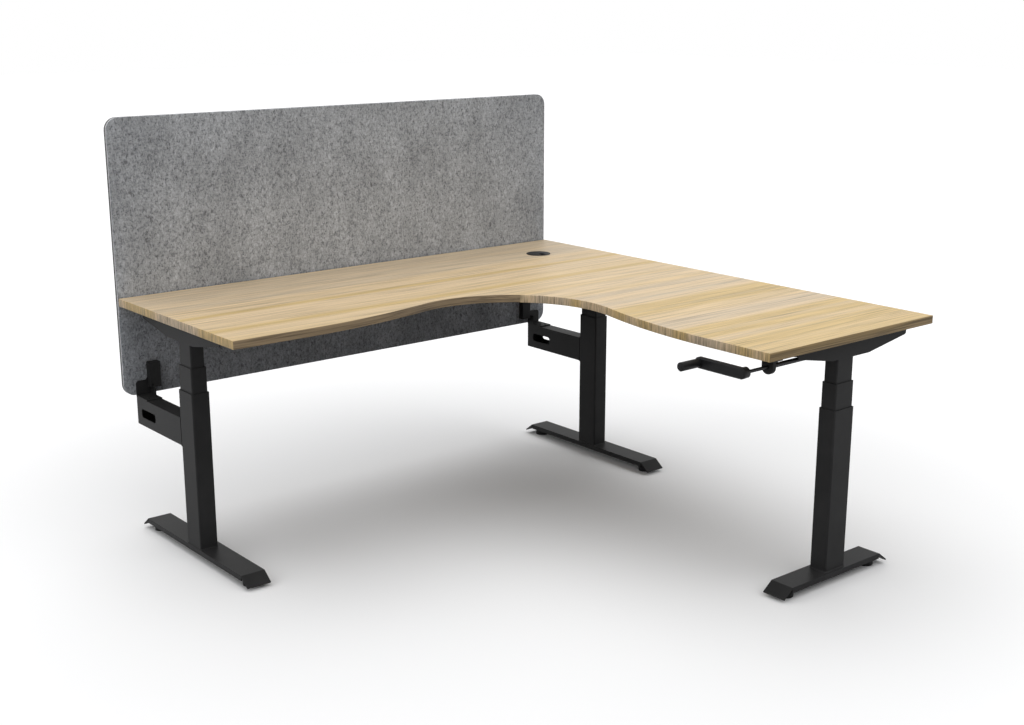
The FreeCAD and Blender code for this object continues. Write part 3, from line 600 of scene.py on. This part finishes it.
caseScrew = {"radius": 0.004, "rise": 0.0022, "inset": 0.009}


def makeCaseScrews():
    low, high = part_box("junction_housing")
    inset = caseScrew["inset"]
    spots = [(x, y, low.z) for x in (low.x + inset, high.x - inset) for y in (low.y + inset, high.y - inset)]
    screwSet("junctionScrews", "top", spots, (0, 0, -1), caseScrew["radius"], caseScrew["rise"])


hangerScrew = {"radius": 0.0042, "rise": 0.0024, "plate": 0.020, "apart": 0.0265}


def makeHangerScrews():
    low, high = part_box("crank_hanger")
    middle, level = (low + high) / 2, high.z - hangerScrew["plate"]
    spots = [(middle.x, middle.y + way * hangerScrew["apart"], level) for way in (-1, 1)]
    screwSet("hangerScrews", "top", spots, (0, 0, -1), hangerScrew["radius"], hangerScrew["rise"])


clipScrew = {"radius": 0.0042, "rise": 0.0022, "sheet": 0.004, "half": 0.027, "apart": 0.013, "back": 0.060}


def makeClipScrews(side):
    low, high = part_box("screen_clip_" + side)
    middle = low.x + clipScrew["half"] if side == "left" else high.x - clipScrew["half"]
    y, level = high.y - clipScrew["back"], low.z + clipScrew["sheet"]
    spots = [(middle + way * clipScrew["apart"], y, level) for way in (-1, 1)]
    screwSet("clipScrews_" + side, "base", spots, (0, 0, 1), clipScrew["radius"], clipScrew["rise"])


makeCaseScrews()
makeHangerScrews()
for side in ("left", "corner"):
    makeClipScrews(side)
print("screws made")

# Leveller lock nuts: chamfered hexagons on the stems, above the pads
nutShape = {"flat": 0.0085, "bore": 0.0052, "bottom": 0.0183, "top": 0.0233, "chamfer": 0.0008, "sides": 36,
            "smoothBelow": 25}


def makeNut(name):
    low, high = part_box(name)
    middle = (low + high) / 2
    angles = [2 * math.pi * i / nutShape["sides"] for i in range(nutShape["sides"])]
    mesh = bmesh.new()

    def loop(reach, level):
        return ring(mesh, [(middle.x + r * math.cos(a), middle.y + r * math.sin(a), level)
                           for r, a in zip(reach, angles)])

    hexagon = [hexagonReach(nutShape["flat"], a) for a in angles]
    circle = [nutShape["flat"]] * len(angles)
    bore = [nutShape["bore"]] * len(angles)
    bottom, top, chamfer = nutShape["bottom"], nutShape["top"], nutShape["chamfer"]
    stack = [loop(bore, bottom), loop(circle, bottom), loop(hexagon, bottom + chamfer),
             loop(hexagon, top - chamfer), loop(circle, top), loop(bore, top)]
    for lower, upper in zip(stack, stack[1:] + stack[:1]):
        bridge(mesh, lower, upper)
    smooth(newPiece(name + "_nut", mesh, name, "screwSteel"), nutShape["smoothBelow"])


for name in nodes:
    if name.startswith("leveller_"):
        makeNut(name)
print("lock nuts made")

# Weld beads: a rippled fillet round each column's foot and round the three open sides of each arm,
# its section in shares of the leg, outwards and up
weldShape = {"leg": 0.0036, "step": 0.0016, "ripple": 0.12, "beat": 4.2, "sink": 0.0003, "corner": 0.005,
             "cornerSteps": 6, "nearEdge": 0.00001, "smoothBelow": 50,
             "section": ((0, 1), (0.42, 0.66), (0.66, 0.42), (1, 0), (0, 0))}


def walk(corners, closed):
    points = []
    pairs = zip(corners, corners[1:] + corners[:1]) if closed else zip(corners, corners[1:])
    for start, end in pairs:
        steps = max(1, round((end - start).length / weldShape["step"]))
        points += [start.lerp(end, i / steps) for i in range(steps)]
    return points if closed else points + [corners[-1]]


def sweepBead(mesh, points, outward, up, closed):
    rings, sink = [], weldShape["sink"]
    for index, point in enumerate(points):
        wave = math.sin(index * math.pi * 2 / weldShape["beat"])
        leg = weldShape["leg"] * (1 + weldShape["ripple"] * wave)
        away = outward(point)
        rings.append(ring(mesh, [point + away * (a * leg - sink) + up * (b * leg - sink)
                                 for a, b in weldShape["section"]]))
    for first, second in zip(rings, rings[1:] + rings[:1] if closed else rings[1:]):
        bridge(mesh, first, second)
    if not closed:
        mesh.faces.new(rings[0])
        mesh.faces.new(rings[-1][::-1])


def makeColumnWeld(side):
    low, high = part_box("outer_column_" + side)
    middle, corner = (low + high) / 2, weldShape["corner"]
    halfX, halfY = (high.x - low.x) / 2 - corner, (high.y - low.y) / 2 - corner
    corners = []
    for quarter, (sx, sy) in enumerate(((1, 1), (-1, 1), (-1, -1), (1, -1))):
        centre = (middle.x + sx * halfX, middle.y + sy * halfY)
        start = quarter * math.pi / 2
        turn = arc(centre, corner, start, start + math.pi / 2, weldShape["cornerSteps"])
        corners += [Vector((x, y, low.z)) for x, y in turn]

    def outward(point):
        x, y = point.x - middle.x, point.y - middle.y
        nearest = Vector((max(-halfX, min(halfX, x)), max(-halfY, min(halfY, y)), 0))
        return (Vector((x, y, 0)) - nearest).normalized()

    mesh = bmesh.new()
    sweepBead(mesh, walk(corners, True), outward, Vector((0, 0, 1)), True)
    weld = newPiece("columnWeld_" + side, mesh, "base", "blackCoat")
    smooth(weld, weldShape["smoothBelow"])


def makeArmWeld(side):
    low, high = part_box("arm_" + side)
    corners = [Vector((x, low.y, z)) for x, z in ((low.x, high.z), (high.x, high.z), (high.x, low.z),
                                                  (low.x, low.z))]
    near = weldShape["nearEdge"]

    def outward(point):
        across = 1.0 if point.x > high.x - near else 0.0
        level = 1.0 if point.z > high.z - near else -1.0 if point.z < low.z + near else 0.0
        return Vector((across, 0, level)).normalized()

    mesh = bmesh.new()
    sweepBead(mesh, walk(corners, False), outward, Vector((0, 1, 0)), False)
    weld = newPiece("armWeld_" + side, mesh, "base", "blackCoat")
    smooth(weld, weldShape["smoothBelow"])


for side in ("left", "corner", "return"):
    makeColumnWeld(side)
for side in ("left", "corner"):
    makeArmWeld(side)
print("welds made")

# Saddles that hold the long rods under the top
saddleShape = {"clear": 0.0022, "thick": 0.003, "foot": 0.014, "width": 0.018, "rodRadius": 0.007,
               "steps": 16, "along": 0.5, "smoothBelow": 35}


def saddleOutline(drop):
    inner = saddleShape["rodRadius"] + saddleShape["clear"]
    outer, foot = inner + saddleShape["thick"], saddleShape["foot"]
    under = drop - saddleShape["thick"]
    points = [(-outer - foot, drop), (-outer - foot, under), (-outer, under)]
    points += arc((0, 0), outer, math.pi, 2 * math.pi, saddleShape["steps"])
    points += [(outer, under), (outer + foot, under), (outer + foot, drop), (inner, drop)]
    points += arc((0, 0), inner, 2 * math.pi, math.pi, saddleShape["steps"])
    return points + [(-inner, drop)]


def makeSaddle(rod):
    low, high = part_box(rod)
    middle, half = (low + high) / 2, saddleShape["width"] / 2
    outline = saddleOutline(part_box("worktop")[0].z - middle.z)
    spot = low.lerp(high, saddleShape["along"])
    mesh = bmesh.new()
    ends = []
    for way in (-half, half):
        if high.x - low.x > high.y - low.y:
            ends.append(ring(mesh, [(spot.x + way, middle.y + a, middle.z + b) for a, b in outline]))
        else:
            ends.append(ring(mesh, [(middle.x + a, spot.y + way, middle.z + b) for a, b in outline]))
    bridge(mesh, *ends)
    for end in ends:
        fill(mesh, end)
    saddle = newPiece(rod + "_saddle", mesh, "top", "blackPlastic")
    smooth(saddle, saddleShape["smoothBelow"])


makeSaddle("sync_rod_left")
makeSaddle("sync_rod_return")
print("saddles made")

# Studio: a pale floor under a soft dome, with broad lights overhead and at the desk's left, front and back,
# and a painted glow that whitens the floor away from the desk
# A light fades along its axis, given as two strengths and where they hold, and grows with the height
studio = {
    "floorSize": 60.0,
    "floorTone": ((0.905, 0.907, 0.913), (0.915, 0.917, 0.923)),
    "floorDrift": (0.6, 2.0, 0.5),
    "floorBounce": (0.24, 0.24, 0.25),
    # painted light: the floor's glow and the distances over which it rises
    "floorGlow": (0.0, 0.16),
    "glowRun": (0.9, 3.2),
    "sky": ((0.0, 0.02), (0.14, 0.045), (0.40, 0.20), (0.65, 0.48), (0.92, 1.0)),
    "dome": 0.45,
    "overhead": (0.0, 1.3, 0.78, 0.97),
    "left": {"axis": 0, "fade": (1.8, 0.0, -0.95, -0.5), "rise": (0.14, 0.40)},
    "front": {"axis": 1, "fade": (1.46, 0.0, -0.8, -0.2), "rise": (0.30, 0.55)},
    "back": {"axis": 1, "fade": (0.0, 1.2, 0.1, 0.6), "rise": (0.40, 0.70)},
}


def seenRays(tree):
    rays = addNode(tree, "ShaderNodeLightPath").outputs
    return sums(tree, "MAXIMUM", sums(tree, "MAXIMUM", rays["Is Camera Ray"], rays["Is Glossy Ray"]),
                rays["Is Transmission Ray"])


def makeFloor():
    half = studio["floorSize"] / 2
    mesh = bmesh.new()
    mesh.faces.new(ring(mesh, [(-half, -half, 0), (half, -half, 0), (half, half, 0), (-half, half, 0)]))
    data = bpy.data.meshes.new("studioFloor")
    mesh.to_mesh(data)
    mesh.free()
    floor = bpy.data.objects.new("studioFloor", data)
    bpy.context.scene.collection.objects.link(floor)
    finish, tree, shader = newFinish("paleFloor", Roughness=0.9)
    shader.inputs["Specular IOR Level"].default_value = 0.0
    low, high = studio["floorTone"]
    drift = noise(tree, place(tree), *studio["floorDrift"])
    pale = ramp(tree, drift, [(0.3, low), (0.7, high)])
    seen = seenRays(tree)
    tree.links.new(mixed(tree, "MIX", seen, studio["floorBounce"], pale), shader.inputs["Base Color"])
    shader.inputs["Emission Color"].default_value = (1, 1, 1, 1)
    # painted light: for camera and glossy rays the floor glows, more the farther it lies from the middle
    # under the desk, so the floor near the desk reads darker
    away = addNode(tree, "ShaderNodeVectorMath", {"operation": "LENGTH"}, Vector=place(tree))
    glow = spread(tree, away.outputs["Value"], *studio["floorGlow"], *studio["glowRun"])
    tree.links.new(sums(tree, "MULTIPLY", seen, glow), shader.inputs["Emission Strength"])
    under = addNode(tree, "ShaderNodeNewGeometry").outputs["Backfacing"]
    clear = addNode(tree, "ShaderNodeMixShader", Fac=under)
    tree.links.new(shader.outputs[0], clear.inputs[1])
    tree.links.new(addNode(tree, "ShaderNodeBsdfTransparent").outputs[0], clear.inputs[2])
    tree.links.new(clear.outputs[0], tree.nodes["Material Output"].inputs["Surface"])
    data.materials.append(finish)


def makeWorld():
    world = bpy.data.worlds.new("studioWorld")
    bpy.context.scene.world = world
    world.use_nodes = True
    tree = world.node_tree
    tree.nodes.clear()
    way = addNode(tree, "ShaderNodeTexCoord").outputs["Generated"]
    parts = addNode(tree, "ShaderNodeSeparateXYZ", Vector=way).outputs
    glow = sums(tree, "MULTIPLY", ramp(tree, parts[2], studio["sky"]), studio["dome"])
    glow = sums(tree, "ADD", glow, spread(tree, parts[2], *studio["overhead"]))
    for side in ("left", "front", "back"):
        lamp = studio[side]
        fade = spread(tree, parts[lamp["axis"]], *lamp["fade"])
        rise = spread(tree, parts[2], 0.0, 1.0, *lamp["rise"])
        glow = sums(tree, "ADD", glow, sums(tree, "MULTIPLY", fade, rise))
    light = addNode(tree, "ShaderNodeBackground", Color=(1, 1, 1, 1), Strength=glow)
    white = addNode(tree, "ShaderNodeBackground", Color=(1, 1, 1, 1), Strength=1.0)
    chosen = addNode(tree, "ShaderNodeMixShader", Fac=seenRays(tree))
    tree.links.new(light.outputs[0], chosen.inputs[1])
    tree.links.new(white.outputs[0], chosen.inputs[2])
    output = addNode(tree, "ShaderNodeOutputWorld")
    tree.links.new(chosen.outputs[0], output.inputs[0])


makeFloor()
makeWorld()
print("studio made")

bpy.context.scene.view_settings.view_transform = "Standard"
